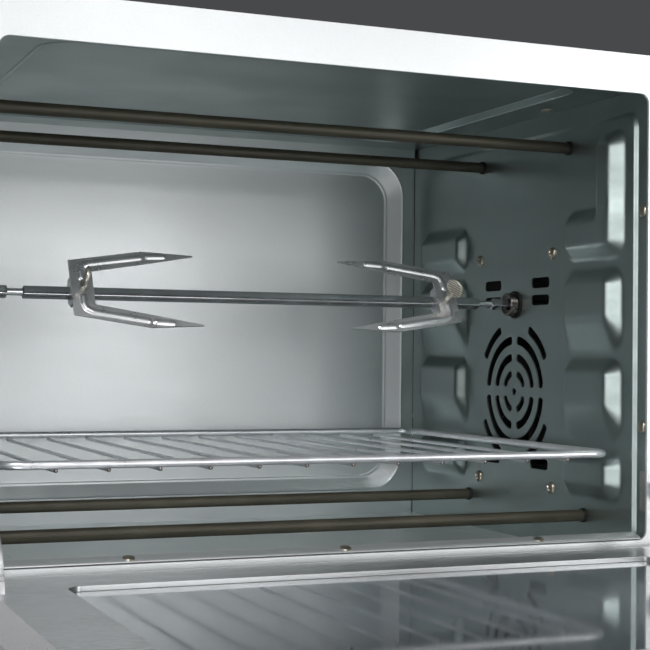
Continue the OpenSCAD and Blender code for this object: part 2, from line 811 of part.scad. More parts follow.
control_box(knob_z[0], 40, 24, 40);  // function_switch
control_box(knob_z[1], 30, 30, 34);  // thermostat
control_box(knob_z[2], 50, 36, 50);  // timer
indicator_lamp();
cord_bushing();
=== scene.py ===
"""Looks of the countertop rotisserie oven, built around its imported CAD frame."""
import json
import math

import bmesh
import bpy
import numpy as np
from mathutils import Matrix, Vector
from mathutils.geometry import delaunay_2d_cdt


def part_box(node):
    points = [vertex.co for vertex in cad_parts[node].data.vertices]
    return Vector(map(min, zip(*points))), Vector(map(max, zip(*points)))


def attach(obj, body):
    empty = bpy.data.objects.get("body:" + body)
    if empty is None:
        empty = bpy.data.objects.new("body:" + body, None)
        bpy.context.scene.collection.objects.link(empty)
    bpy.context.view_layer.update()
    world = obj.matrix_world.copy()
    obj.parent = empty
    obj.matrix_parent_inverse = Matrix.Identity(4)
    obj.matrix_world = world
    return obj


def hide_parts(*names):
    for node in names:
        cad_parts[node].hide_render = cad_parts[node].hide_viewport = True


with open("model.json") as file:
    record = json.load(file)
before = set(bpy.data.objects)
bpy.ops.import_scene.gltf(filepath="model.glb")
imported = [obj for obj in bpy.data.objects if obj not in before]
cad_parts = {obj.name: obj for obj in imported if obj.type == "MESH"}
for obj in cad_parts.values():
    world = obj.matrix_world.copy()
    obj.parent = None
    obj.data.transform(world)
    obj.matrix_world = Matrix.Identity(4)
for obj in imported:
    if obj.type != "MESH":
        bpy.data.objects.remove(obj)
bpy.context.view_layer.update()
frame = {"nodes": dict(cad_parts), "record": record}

MM = 0.001
SHEET = 0.8
TAU = 2 * math.pi

# ---------- Places, worked out from the frame ----------

wall_low, wall_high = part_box("chamber_right_wall")
left_low, left_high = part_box("chamber_left_wall")
back_low, back_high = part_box("chamber_back_wall")
HALF_W = (wall_high.x - left_low.x) / 2 / MM - SHEET
MID_X = (wall_high.x + left_low.x) / 2
JAMB = 10
BEND_Y = wall_low.y + JAMB * MM
FLOOR_Z = wall_low.z
DEPTH = (back_low.y - BEND_Y) / MM
HEIGHT = (wall_high.z - wall_low.z) / MM


def chamber(p):
    """Row position of a point in the chamber's own frame, in mm: middle, front bend, floor."""
    return (MID_X + p[0] * MM, BEND_Y + p[1] * MM, FLOOR_Z + p[2] * MM)


def chamber_of(v):
    """The chamber frame's mm position of a row point."""
    return ((v.x - MID_X) / MM, (v.y - BEND_Y) / MM, (v.z - FLOOR_Z) / MM)


def centre(node):
    low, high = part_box(node)
    return chamber_of((low + high) / 2)


SPIT = centre("spit_rod")[1:]
SPIT_TURN = math.radians(30)
FAN = centre("fan_wheel")[1:]
RODS = {n: centre(n)[1:] for n in ("heater_top_front", "heater_top_rear",
                                   "heater_bottom_front", "heater_bottom_rear")}

# ---------- Mesh helpers ----------


def link(obj):
    bpy.context.scene.collection.objects.link(obj)
    return obj


def new_piece(name, verts, faces, place=chamber, smooth=35):
    """An object of the given points and faces, its points put through place()."""
    mesh = bpy.data.meshes.new(name)
    mesh.from_pydata([place(v) for v in verts], [], [list(f) for f in faces])
    mesh.validate()
    obj = link(bpy.data.objects.new(name, mesh))
    soften(obj, smooth)
    return obj


def soften(obj, angle):
    """Smooth shading, with edges kept sharp above the angle in degrees."""
    mesh = obj.data
    mesh.polygons.foreach_set("use_smooth", [True] * len(mesh.polygons))
    mesh.set_sharp_from_angle(angle=math.radians(angle))


def tidy_normals(obj):
    bm = bmesh.new()
    bm.from_mesh(obj.data)
    bmesh.ops.remove_doubles(bm, verts=bm.verts, dist=1e-6)
    bmesh.ops.recalc_face_normals(bm, faces=bm.faces)
    bm.to_mesh(obj.data)
    bm.free()


def join(name, objs):
    """One object of several that share a body."""
    bm = bmesh.new()
    mats = []
    for o in objs:
        part = bmesh.new()
        part.from_mesh(o.data)
        for m in o.data.materials:
            if m not in mats:
                mats.append(m)
        index = [mats.index(m) for m in o.data.materials] or [0]
        for f in part.faces:
            f.material_index = index[min(f.material_index, len(index) - 1)]
        spare = bpy.data.meshes.new("spare")
        part.to_mesh(spare)
        part.free()
        bm.from_mesh(spare)
        bpy.data.meshes.remove(spare)
        bpy.data.objects.remove(o)
    mesh = bpy.data.meshes.new(name)
    bm.to_mesh(mesh)
    bm.free()
    for m in mats:
        mesh.materials.append(m)
    return link(bpy.data.objects.new(name, mesh))


def finish_piece(obj, material, body, slot, *nodes):
    """Gives the piece its material and body, and hides the CAD nodes that it stands for; slot is not used.
    """
    if not obj.data.materials:
        obj.data.materials.append(material)
    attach(obj, body)
    if nodes:
        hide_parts(*nodes)
    return obj


def apply_modifiers(obj):
    graph = bpy.context.evaluated_depsgraph_get()
    mesh = bpy.data.meshes.new_from_object(obj.evaluated_get(graph))
    obj.modifiers.clear()
    obj.data = mesh
    return obj


def thicken(obj, thickness, offset):
    m = obj.modifiers.new("sheet", "SOLIDIFY")
    m.thickness = thickness * MM
    m.offset = offset
    m.use_even_offset = False
    return apply_modifiers(obj)


def bevel(obj, width, segments, angle, even=True):
    """Rounds the edges sharper than the angle. even keeps large faces flat in their shading."""
    m = obj.modifiers.new("edge", "BEVEL")
    m.width = width * MM
    m.segments = segments
    m.limit_method = "ANGLE"
    m.angle_limit = math.radians(angle)
    m.use_clamp_overlap = True
    apply_modifiers(obj)
    soften(obj, 50)
    if even:
        flat = obj.modifiers.new("flat", "WEIGHTED_NORMAL")
        flat.keep_sharp = True
        apply_modifiers(obj)
    return obj


def from_cad(node, name, width):
    """A new piece on the CAD node's own surfaces, with its edges rounded off."""
    angle = 40
    mesh = frame["nodes"][node].data.copy()
    mesh.materials.clear()
    mesh.name = name
    bm = bmesh.new()
    bm.from_mesh(mesh)
    bmesh.ops.remove_doubles(bm, verts=bm.verts, dist=2e-6)
    bmesh.ops.dissolve_limit(bm, angle_limit=math.radians(0.5), verts=bm.verts, edges=bm.edges)
    bm.to_mesh(mesh)
    bm.free()
    obj = link(bpy.data.objects.new(name, mesh))
    for a in list(mesh.attributes):
        if a.name in ("custom_normal", "sharp_edge", "sharp_face"):
            mesh.attributes.remove(a)
    soften(obj, angle)
    return bevel(obj, width, 2, angle)


def grid_faces(rows, cols, wrap=False):
    faces = []
    for i in range(rows - 1):
        for j in range(cols if wrap else cols - 1):
            k = (j + 1) % cols
            faces.append((i * cols + j, i * cols + k, (i + 1) * cols + k, (i + 1) * cols + j))
    return faces


def lathe(name, profile, axis_point, axis, place=chamber, n=48, smooth=35):
    """Surface of revolution. profile is (distance along the axis, radius) from end to end."""
    axis = Vector(axis).normalized()
    side = axis.orthogonal().normalized()
    up = axis.cross(side)
    verts = []
    for d, r in profile:
        for k in range(n):
            a = TAU * k / n
            v = Vector(axis_point) + axis * d + side * (r * math.cos(a)) + up * (r * math.sin(a))
            verts.append(tuple(v))
    faces = [tuple(reversed(f)) for f in grid_faces(len(profile), n, wrap=True)]
    if profile[0][1] > 1e-6:
        faces.append(tuple(range(n)))
    if profile[-1][1] > 1e-6:
        last = (len(profile) - 1) * n
        faces.append(tuple(last + k for k in reversed(range(n))))
    obj = new_piece(name, verts, faces, place, smooth)
    tidy_normals(obj)
    soften(obj, smooth)
    return obj


def tube(name, points, radius, n, closed=False):
    """A round wire along the points, with domed ends unless it is closed."""
    pts = [Vector(p) for p in points]
    radii = [radius] * len(pts)
    if not closed:
        for end, inner in ((0, 1), (-1, -2)):
            direction = (pts[end] - pts[inner]).normalized()
            tip = pts[end].copy()
            extra = [(tip - direction * radius * (1 - math.sin(a)), radius * math.cos(a))
                     for a in (0, 0.5, 1.0, 1.35, 1.57)]
            if end == 0:
                pts = [e[0] for e in reversed(extra)] + pts[1:]
                radii = [e[1] for e in reversed(extra)] + radii[1:]
            else:
                pts = pts[:-1] + [e[0] for e in extra]
                radii = radii[:-1] + [e[1] for e in extra]
    count = len(pts)
    normal = None
    verts = []
    for i, p in enumerate(pts):
        if closed:
            t = (pts[(i + 1) % count] - pts[i - 1]).normalized()
        else:
            t = (pts[min(i + 1, count - 1)] - pts[max(i - 1, 0)]).normalized()
        if normal is None:
            normal = t.orthogonal().normalized()
        normal = (normal - t * normal.dot(t)).normalized()
        other = t.cross(normal)
        for k in range(n):
            a = TAU * k / n
            verts.append(tuple(p + normal * (radii[i] * math.cos(a)) + other * (radii[i] * math.sin(a))))
    faces = grid_faces(count, n, wrap=True)
    if closed:
        last = (count - 1) * n
        faces += [(last + j, last + (j + 1) % n, (j + 1) % n, j) for j in range(n)]
    else:
        faces += [tuple(reversed(range(n))), tuple((count - 1) * n + k for k in range(n))]
    obj = new_piece(name, verts, faces, chamber, 50)
    tidy_normals(obj)
    soften(obj, 50)
    return obj


def rounded_rect(cx, cy, w, h, r, n=8):
    """Outline points, anticlockwise from the right side's lower end."""
    pts = []
    for k, (sx, sy) in enumerate(((1, -1), (1, 1), (-1, 1), (-1, -1))):
        for i in range(n + 1):
            a = -math.pi / 2 + k * math.pi / 2 + i * math.pi / 2 / n
            pts.append((cx + sx * (w / 2 - r) + r * math.cos(a), cy + sy * (h / 2 - r) + r * math.sin(a)))
    return pts


def circle(cx, cy, r, n=24):
    return [(cx + r * math.cos(TAU * i / n), cy + r * math.sin(TAU * i / n)) for i in range(n)]


def arc_slot(cx, cy, r, w, a0, a1, n=14, corner=2.2):
    """A slot along an arc, with rounded corners."""
    out = []
    ease = corner / r
    turns = [math.pi / 2 * k / 4 for k in range(5)]
    for i in range(1, n):
        a = a0 + ease + (a1 - a0 - 2 * ease) * i / n
        out.append((a, w / 2))
    out += [(a1 - ease * (1 - math.sin(t)), w / 2 - corner * (1 - math.cos(t))) for t in turns]
    out += [(a1 - ease * (1 - math.cos(t)), -w / 2 + corner * (1 - math.sin(t))) for t in turns]
    for i in range(1, n):
        a = a1 - ease - (a1 - a0 - 2 * ease) * i / n
        out.append((a, -w / 2))
    out += [(a0 + ease * (1 - math.sin(t)), -w / 2 + corner * (1 - math.cos(t))) for t in turns]
    out += [(a0 + ease * (1 - math.cos(t)), w / 2 - corner * (1 - math.sin(t))) for t in turns]
    return [(cx + (r + d) * math.cos(a), cy + (r + d) * math.sin(a)) for a, d in out]


def inside(p, loop):
    hit = False
    for (x0, y0), (x1, y1) in zip(loop, loop[1:] + loop[:1]):
        if (y0 > p[1]) != (y1 > p[1]) and p[0] < x0 + (p[1] - y0) * (x1 - x0) / (y1 - y0):
            hit = not hit
    return hit


def perforated(outline, holes):
    """Points and triangles of a flat outline with holes in it."""
    pts, edges = [], []
    for loop in [outline] + holes:
        first = len(pts)
        pts += [Vector(p) for p in loop]
        edges += [(first + i, first + (i + 1) % len(loop)) for i in range(len(loop))]
    out = delaunay_2d_cdt(pts, edges, [], 0, 1e-5)
    flat = [tuple(v) for v in out[0]]
    faces = []
    for f in out[2]:
        c = (sum(flat[i][0] for i in f) / len(f), sum(flat[i][1] for i in f) / len(f))
        if inside(c, outline) and not any(inside(c, h) for h in holes):
            faces.append(tuple(f))
    return flat, faces


# ---------- Materials ----------


class Nodes:
    """A material's node tree, with short ways to add what the materials here share."""

    def __init__(self, name):
        self.material = bpy.data.materials.new(name)
        self.material.use_nodes = True
        self.tree = self.material.node_tree
        self.shader = self.tree.nodes["Principled BSDF"]
        self.coords = self.add("ShaderNodeTexCoord").outputs["Object"]

    def add(self, kind, **props):
        node = self.tree.nodes.new(kind)
        for k, v in props.items():
            setattr(node, k, v)
        return node

    def wire(self, a, b):
        self.tree.links.new(a, b)

    def stretched(self, scale):
        m = self.add("ShaderNodeMapping")
        m.inputs["Scale"].default_value = scale
        self.wire(self.coords, m.inputs["Vector"])
        return m.outputs["Vector"]

    def noise(self, scale, detail=3.0, rough=0.55, vector=None):
        n = self.add("ShaderNodeTexNoise")
        n.inputs["Scale"].default_value = scale
        n.inputs["Detail"].default_value = detail
        n.inputs["Roughness"].default_value = rough
        self.wire(self.coords if vector is None else vector, n.inputs["Vector"])
        return n.outputs["Fac"]

    def spread(self, value, low, high, a=0.3, b=0.7):
        """value, from a to b, mapped to low to high."""
        m = self.add("ShaderNodeMapRange")
        m.inputs["From Min"].default_value = a
        m.inputs["From Max"].default_value = b
        m.inputs["To Min"].default_value = low
        m.inputs["To Max"].default_value = high
        self.wire(value, m.inputs["Value"])
        return m.outputs["Result"]

    def ramp(self, value, *stops):
        r = self.add("ShaderNodeValToRGB")
        ramp = r.color_ramp
        while len(ramp.elements) < len(stops):
            ramp.elements.new(0.5)
        for e, (pos, col) in zip(ramp.elements, stops):
            e.position = pos
            e.color = (*col, 1)
        self.wire(value, r.inputs["Fac"])
        return r.outputs["Color"]

    def mix(self, fac, a, b):
        """The colours a and b mixed. A mix node keeps them in its inputs 6 and 7 and gives output 2."""
        m = self.add("ShaderNodeMix", data_type="RGBA")
        for socket, value in ((m.inputs["Factor"], fac), (m.inputs[6], a), (m.inputs[7], b)):
            if hasattr(value, "is_linked"):
                self.wire(value, socket)
            elif isinstance(value, (int, float)):
                socket.default_value = value
            else:
                socket.default_value = (*value, 1)
        return m.outputs[2]

    def sum(self, a, b):
        m = self.add("ShaderNodeMath", operation="ADD")
        self.wire(a, m.inputs[0])
        self.wire(b, m.inputs[1])
        return m.outputs[0]

    def bump(self, height, distance, strength=1.0):
        b = self.add("ShaderNodeBump")
        b.inputs["Distance"].default_value = distance
        b.inputs["Strength"].default_value = strength
        self.wire(height, b.inputs["Height"])
        self.wire(b.outputs["Normal"], self.shader.inputs["Normal"])

    def set(self, **values):
        for k, v in values.items():
            socket = self.shader.inputs[k.replace("_", " ")]
            if hasattr(v, "is_linked"):
                self.wire(v, socket)
            elif isinstance(v, tuple):
                socket.default_value = (*v, 1)
            else:
                socket.default_value = v
        return self


def shade(colour, k):
    return tuple(min(1.0, c * k) for c in colour)


def sheet_steel(name, colour, rough=0.36, mottle=0.06, metallic=1.0, streak=0.05):
    """Satin coated sheet: soft mottling, fine grain, faint smears and light scratches."""
    n = Nodes(name)
    patches = n.noise(9, 4)
    grain = n.noise(1600, 2, 0.6)
    smear = n.noise(1, 3, 0.5, n.stretched((18, 18, 60)))
    tone = n.ramp(patches, (0.30, shade(colour, 1 - mottle)), (0.70, shade(colour, 1 + mottle)))
    tone = n.mix(n.spread(grain, 0, 0.35), tone, shade(colour, 0.86))
    n.set(Base_Color=tone, Metallic=metallic)
    level = n.sum(n.spread(smear, rough - streak, rough + streak), n.spread(grain, -0.03, 0.03))
    n.set(Roughness=level)
    n.bump(grain, 0.00007, 0.4)
    return n.material


def brushed_steel(name, colour, rough=0.28):
    """Stainless steel with drawn lines from side to side."""
    n = Nodes(name)
    lines = n.noise(1, 4, 0.65, n.stretched((6, 900, 900)))
    cloud = n.noise(6, 3)
    tone = n.mix(n.spread(lines, 0, 1), shade(colour, 0.94), shade(colour, 1.03))
    tone = n.mix(n.spread(cloud, 0, 0.3), tone, shade(colour, 0.92))
    n.set(Base_Color=tone, Metallic=1.0)
    level = n.sum(n.spread(lines, rough - 0.03, rough + 0.05), n.spread(cloud, -0.02, 0.03))
    n.set(Roughness=level)
    n.bump(lines, 0.00004, 0.5)
    return n.material


def chrome(name, colour=(0.78, 0.79, 0.80), rough=0.09, metallic=1.0):
    """Bright plating with faint haze, small pits and handling marks."""
    n = Nodes(name)
    haze = n.noise(60, 4)
    pits = n.noise(900, 2, 0.7)
    tone = n.ramp(haze, (0.35, shade(colour, 0.90)), (0.65, shade(colour, 1.05)))
    n.set(Base_Color=tone, Metallic=metallic)
    n.set(Roughness=n.sum(n.spread(haze, rough - 0.03, rough + 0.05), n.spread(pits, -0.01, 0.02)))
    n.bump(pits, 0.000008, 0.3)
    return n.material


def oxide_rod(name, colour):
    """Heater sheath: green-brown heat oxide, cloudy and slightly rough."""
    n = Nodes(name)
    bands = n.noise(1, 4, 0.6, n.stretched((22, 120, 120)))
    fine = n.noise(1400, 3, 0.6)
    tone = n.ramp(bands, (0.30, shade(colour, 0.72)), (0.52, colour), (0.75, shade(colour, 1.45)))
    tone = n.mix(n.spread(fine, 0, 0.5), tone, shade(colour, 0.7))
    n.set(Base_Color=tone, Metallic=0.55)
    n.set(Roughness=n.sum(n.spread(bands, 0.42, 0.58), n.spread(fine, -0.05, 0.05)))
    n.bump(fine, 0.00008, 0.5)
    return n.material


def painted(name, colour, rough):
    """Sprayed metal: fine orange peel and a little dust tone."""
    n = Nodes(name)
    cloud = n.noise(5, 3)
    peel = n.noise(700, 2, 0.5)
    n.set(Base_Color=n.ramp(cloud, (0.3, shade(colour, 0.95)), (0.7, shade(colour, 1.05))))
    n.set(Roughness=n.sum(n.spread(cloud, rough - 0.04, rough + 0.05), n.spread(peel, -0.03, 0.03)))
    n.set(Metallic=0.25, Coat_Weight=0.15, Coat_Roughness=0.3)
    n.bump(peel, 0.00005, 0.4)
    return n.material


def plastic(name, colour, rough, grain=1100, depth=0.00006):
    """Moulded plastic with a spark-eroded texture."""
    n = Nodes(name)
    texture = n.noise(grain, 3, 0.6)
    cloud = n.noise(14, 2)
    n.set(Base_Color=n.mix(n.spread(cloud, 0, 1), shade(colour, 0.92), shade(colour, 1.1)))
    n.set(Roughness=n.sum(n.spread(texture, rough - 0.06, rough + 0.08), n.spread(cloud, -0.02, 0.03)))
    n.bump(texture, depth, 0.5)
    return n.material


def glass(name, colour):
    """Tempered door glass with faint smudges."""
    n = Nodes(name)
    smudge = n.noise(12, 4, 0.6)
    n.set(Base_Color=n.mix(n.spread(smudge, 0, 1), colour, shade(colour, 1.15)))
    n.set(Roughness=n.spread(smudge, 0.02, 0.09), Transmission_Weight=0.9, IOR=1.5)
    n.bump(n.noise(40, 2), 0.00002, 0.2)
    return n.material


M = {
    # The chamber, back and floor steels are one sheet in lit and shaded copies: painted light on the back
    # and floor, painted shade on the walls and ceiling
    "chamber": sheet_steel("chamber_steel", (0.36, 0.42, 0.41), 0.36),
    "floor": sheet_steel("floor_steel", (0.74, 0.79, 0.79), 0.42, 0.04, 0.9, 0.03),
    "back": sheet_steel("back_steel", (0.66, 0.69, 0.70), 0.38, 0.015, 1.0, 0.008),
    # near-black steel: painted shade for the works and the casing's inside, seen only through the grille's
    # slots and the vents
    "dark": sheet_steel("shade_dark_steel", (0.10, 0.10, 0.10), 0.5, 0.1),
    # the frame steel is also set lighter, partly its own brighter finish and partly painted light on the
    # jamb and the floor's lip
    "frame": sheet_steel("frame_steel", (0.80, 0.82, 0.83), 0.38, 0.03, 0.85, 0.02),
    "casing": painted("casing_paint", (0.46, 0.48, 0.49), 0.42),
    "door": brushed_steel("door_steel", (0.60, 0.61, 0.62)),
    "panel": brushed_steel("panel_steel", (0.58, 0.59, 0.60)),
    "bar": brushed_steel("bar_steel", (0.66, 0.67, 0.68), 0.22),
    "chrome": chrome("chrome", (0.78, 0.79, 0.82), 0.10, 0.93),
    "rack": chrome("rack_chrome", (0.90, 0.91, 0.94), 0.30, 0.8),
    "fork": chrome("fork_chrome", (0.76, 0.77, 0.79), 0.28, 0.8),
    "thumb": chrome("thumb_nickel", (0.72, 0.68, 0.60), 0.32, 0.9),
    # darker copy of the nickel for the head's grooves: painted shade in the hollows
    "groove": chrome("thumb_groove_shade", (0.30, 0.27, 0.22), 0.4, 0.9),
    "socket": chrome("socket_steel", (0.24, 0.215, 0.20), 0.26),
    "collar": oxide_rod("collar_oxide", (0.022, 0.021, 0.019)),
    "rod": oxide_rod("rod_oxide", (0.085, 0.079, 0.058)),
    "screw": chrome("screw_steel", (0.52, 0.47, 0.38), 0.30),
    "plated": sheet_steel("plated_steel", (0.58, 0.59, 0.57), 0.34, 0.08),
    "motor": painted("motor_paint", (0.03, 0.03, 0.035), 0.45),
    "ceramic": plastic("ceramic", (0.80, 0.77, 0.70), 0.6),
    "black": plastic("black_plastic", (0.018, 0.018, 0.020), 0.42),
    "bush": plastic("bush_plastic", (0.72, 0.70, 0.64), 0.5),
    "switch": plastic("switch_plastic", (0.16, 0.09, 0.05), 0.55),
    "rubber": plastic("rubber", (0.02, 0.02, 0.02), 0.75, 500, 0.0001),
    "mark": painted("dial_marks", (0.05, 0.05, 0.055), 0.5),
    "lamp": plastic("lamp_lens", (0.45, 0.02, 0.015), 0.2),
    "glass": glass("door_glass", (0.42, 0.46, 0.48)),
}

# ---------- Chamber walls ----------

# All in mm in the chamber's frame. The runs are how far a bump's sides slope: front, rear, low, top.
RIGHT_LIFT = 8
LEFT_LIFT = 5.5
BUMP_LOW = (38, 77.2, 136.5, 199.5)
BUMP_HIGH = (71.5, 132.3, 193, 234.5)
LONG_RUNS = (10.5, 9, 22, 8.5)
SHORT_RUNS = (10.5, 9, 9, 9)
FRONT_COLUMN = (14, 83)
BACK_COLUMN = (227.5, 304)
BACK_RUN = (5.5,)
TALL_BUMP = (11, 44)
TALL_TOP = 285
BUMP_CORNER = 3
# Beyond the seam, at the front and top edges, the wall steps outwards by the joggle
JOGGLE = 2.4
SEAM_Z = 294.5
SEAM_CORNER = 12
# Gap between the side walls and the back wall
SEAM_GAP = 0.9
# Flat part between the two columns of bumps, which carries the openings
MIDDLE = (94, 222)
MIDDLE_TOP = 286
WALL_SHEET = 1.1
EDGE_ROUND = 0.42


def soft_min(a, b, k):
    h = np.clip(0.5 + 0.5 * (b - a) / k, 0, 1)
    return b * (1 - h) + a * h - k * h * (1 - h)


def soft_max(a, b, k):
    return -soft_min(-a, -b, k)


def bump_field(y, z, ys, zs, runs):
    """Height of one pressed bump over its full height, with coned corners and an eased ridge."""
    front, rear, low, top = runs
    to_front = ys[0] + front + BUMP_CORNER - y
    to_rear = y - (ys[1] - rear - BUMP_CORNER)
    to_low = zs[0] + low + BUMP_CORNER - z
    to_top = z - (zs[1] - top - BUMP_CORNER)
    along = np.maximum(np.maximum(to_front, to_rear), 0)
    upward = np.maximum(np.maximum(to_low, to_top), 0)
    run_y = np.where(to_front > to_rear, front, rear)
    run_z = np.where(to_low > to_top, low, top)
    square = along * along + upward * upward
    run = (along * along * run_y + upward * upward * run_z) / np.maximum(square, 1e-6)
    run = np.where(square < 1e-6, front, run)
    slope = 1 - (np.sqrt(square) - BUMP_CORNER) / run
    return soft_min(slope, np.ones_like(y), 0.2)


def smooth_step(x, a, b):
    t = np.clip((x - a) / (b - a), 0, 1)
    return t * t * (3 - 2 * t)


def wall_height(y, z, lift):
    """How far the side wall stands into the chamber at (y, z), in mm, with bumps of the given lift."""
    total = np.full_like(y, -1.0)
    for i in range(4):
        runs = LONG_RUNS if i in (1, 2) else SHORT_RUNS
        for ys, sides in ((FRONT_COLUMN, runs), (BACK_COLUMN, BACK_RUN + runs[1:])):
            total = soft_max(total, bump_field(y, z, ys, (BUMP_LOW[i], BUMP_HIGH[i]), sides), 0.1)
    tall = bump_field(y, z, TALL_BUMP, (BUMP_LOW[3], TALL_TOP), SHORT_RUNS)
    total = soft_max(total, tall, 0.15)
    bumps = soft_max(total, np.zeros_like(y), 0.14) * lift
    in_y = np.maximum(SEAM_CORNER - y, 0)
    in_z = np.maximum(z - (SEAM_Z - SEAM_CORNER), 0)
    at_corner = SEAM_CORNER - np.hypot(in_y, in_z)
    edge = np.where((in_y > 0) | (in_z > 0), at_corner, SEAM_CORNER)
    return bumps - JOGGLE * (1 - smooth_step(edge, -0.6, 3.4))


def spaced(a, b, step):
    return list(np.linspace(a, b, max(2, int(round((b - a) / step)) + 1)))


def side_wall(name, side, lift, holes, node, slot):
    """A pressed side wall: two columns of shelf bumps and a flat middle with its openings."""
    z_line = spaced(0, 284, 1.6) + spaced(284, 300, 0.7)[1:] + spaced(300, HEIGHT, 2.0)[1:]
    front_y = spaced(-JAMB, -4, 2.0) + spaced(-4, 4, 0.5)[1:] + spaced(4, MIDDLE[0], 1.5)[1:]
    back_y = spaced(MIDDLE[1], DEPTH - SEAM_GAP, 1.6)
    verts, faces = [], []
    for ys in (front_y, back_y):
        first = len(verts)
        yy, zz = np.meshgrid(ys, z_line)
        h = wall_height(yy, zz, lift)
        for i in range(len(z_line)):
            for j in range(len(ys)):
                verts.append((side * (HALF_W - h[i, j]), ys[j], z_line[i]))
        faces += [tuple(first + k for k in f) for f in grid_faces(len(z_line), len(ys))]
    # the flat middle below the seam, then the strip above it that steps out like the rest
    low = [z for z in z_line if z <= MIDDLE_TOP]
    outline = [(MIDDLE[0], z) for z in reversed(low)] + [(MIDDLE[1], z) for z in low]
    flat, tris = perforated(outline, holes)
    first = len(verts)
    verts += [(side * HALF_W, p[0], p[1]) for p in flat]
    faces += [tuple(first + k for k in f) for f in tris]
    high = [z for z in z_line if z >= low[-1]]
    yy, zz = np.meshgrid(MIDDLE, high)
    h = wall_height(yy, zz, lift)
    first = len(verts)
    for i in range(len(high)):
        for j, y in enumerate(MIDDLE):
            verts.append((side * (HALF_W - h[i, j]), y, high[i]))
    faces += [tuple(first + k for k in f) for f in grid_faces(len(high), 2)]
    obj = new_piece(name, verts, faces, chamber, 60)
    bm = bmesh.new()
    bm.from_mesh(obj.data)
    bmesh.ops.remove_doubles(bm, verts=bm.verts, dist=2e-5)
    bmesh.ops.recalc_face_normals(bm, faces=bm.faces)
    if bm.faces[0].normal.x * side > 0:
        bmesh.ops.reverse_faces(bm, faces=bm.faces)
    bm.to_mesh(obj.data)
    bm.free()
    thicken(obj, WALL_SHEET, -1.0)
    bevel(obj, EDGE_ROUND, 3, 65)
    return finish_piece(obj, M["chamber"], "oven", slot, node)


# Radius and width of each ring of slots and half the bar between its slots, 0 where they are short
GRILLE_RINGS = ((13.7, 5.2, 3.4), (25.6, 6.0, 3.4), (38.2, 6.4, 3.4), (50, 6.2, 0))
GRILLE_CENTRE_R = 2.7


def grille_holes(cy, cz):
    """Outlines of the fan grille's openings around its centre."""
    out = [circle(cy, cz, GRILLE_CENTRE_R)]
    for r, w, half_gap in GRILLE_RINGS:
        for q in range(4):
            mid = math.pi / 4 + q * math.pi / 2
            if half_gap:
                gap = math.asin(half_gap / r)
                a0, a1 = mid - math.pi / 4 + gap, mid + math.pi / 4 - gap
            else:
                # the two upper slots sit a little nearer to the top than the two lower ones
                spread = math.radians(18.5 if q < 2 else 20)
                mid += math.radians((3, -3, 2, -2)[q])
                a0, a1 = mid - spread, mid + spread
            out.append(arc_slot(cy, cz, r, w, a0, a1))
    return out


VENTS = ((117.6, 186.7), (186.5, 186.7), (117.9, 174.2), (186.5, 174.2), (118.2, 55.7), (187.5, 55.7))
VENT_LENGTH = 24.2
VENT_WIDTH = 7.7
VENT_CORNER = 2.6
vent_holes = [rounded_rect(y, z, VENT_LENGTH, VENT_WIDTH, VENT_CORNER, 6) for y, z in VENTS]
right_holes = grille_holes(*FAN) + vent_holes
side_wall("right_wall", 1, RIGHT_LIFT, right_holes, "chamber_right_wall", "chamber_steel")
side_wall("left_wall", -1, LEFT_LIFT, [], "chamber_left_wall", "chamber_steel")


def pressed_panel(name, loops, place_point, node, material, slot, thick_dir):
    """A sheet of nested loops, each at its own depth, of which the last is the sheet's edge."""
    count = len(loops[0][0])
    verts = []
    for outline, depth in loops:
        verts += [place_point(p[0], p[1], depth) for p in outline]
    faces = grid_faces(len(loops), count, wrap=True)
    faces.append(tuple(reversed(range(count))))
    obj = new_piece(name, verts, faces, chamber, 60)
    tidy_normals(obj)
    thicken(obj, SHEET, thick_dir)
    soften(obj, 60)
    return finish_piece(obj, material, "oven", slot, node)


def step_loops(cx, cy, inner, outer, r_in, r_out, d_in, d_out, edge, n=12):
    """Loops of a pressed step from the inner rounded rectangle to the outer, then the sheet's edge.

    inner and outer are widths and heights, with corners r_in and r_out, at depths d_in and d_out.
    """
    loops = []

    def at(t):
        w = inner[0] + (outer[0] - inner[0]) * t
        h = inner[1] + (outer[1] - inner[1]) * t
        return rounded_rect(cx, cy, w, h, max(2.0, r_in + (r_out - r_in) * t), n)

    def depth(t):
        return d_in + (d_out - d_in) * t

    near = [k * 0.02 for k in range(-8, 9)]
    inward = -1 if d_in > d_out else 1
    ease = 0.06
    for t in [-0.3] + near + [0.3, 0.7] + [1 + k for k in near] + [1.3]:
        # each knee of the step is eased over a short way and carries a fine ridge, in mm
        eased = t
        ridge = 0
        for knee, sign, rise, half in ((0.0, 1, 0.45, 0.07), (1.0, -1, 0.35, 0.05)):
            x = (t - knee) * sign
            if abs(x) < ease:
                eased = knee + sign * ((x + ease) ** 2 / (4 * ease))
            elif x <= -ease:
                eased = knee
            ridge += rise * math.exp(-((t - knee) / half) ** 2)
        loops.append((at(t), depth(eased) + inward * ridge))
    last = loops[-1][0]
    x0, x1, y0, y1 = edge
    corners = ((x1, y0), (x1, y1), (x0, y1), (x0, y0))
    rim = []
    for k, (sx, sy) in enumerate(corners):
        first, final = last[k * (n + 1)], last[k * (n + 1) + n]
        start = (first[0], sy) if k % 2 == 0 else (sx, first[1])
        end = (sx, final[1]) if k % 2 == 0 else (final[0], sy)
        for i in range(n + 1):
            t = 2 * i / n
            a, b, f = (start, (sx, sy), t) if t <= 1 else ((sx, sy), end, t - 1)
            rim.append((a[0] + (b[0] - a[0]) * f, a[1] + (b[1] - a[1]) * f))
    loops.append((rim, depth(1.0)))
    return loops


def back_wall():
    loops = step_loops(0, 158.3, inner=(364.6, 253.8), outer=(391, 277), r_in=23, r_out=30,
                       d_in=6, d_out=0, edge=(-HALF_W, HALF_W, 0, HEIGHT))
    pressed_panel("back_wall", loops, lambda x, z, d: (x, DEPTH + d, z), "chamber_back_wall",
                  M["back"], "back_steel", 1.0)


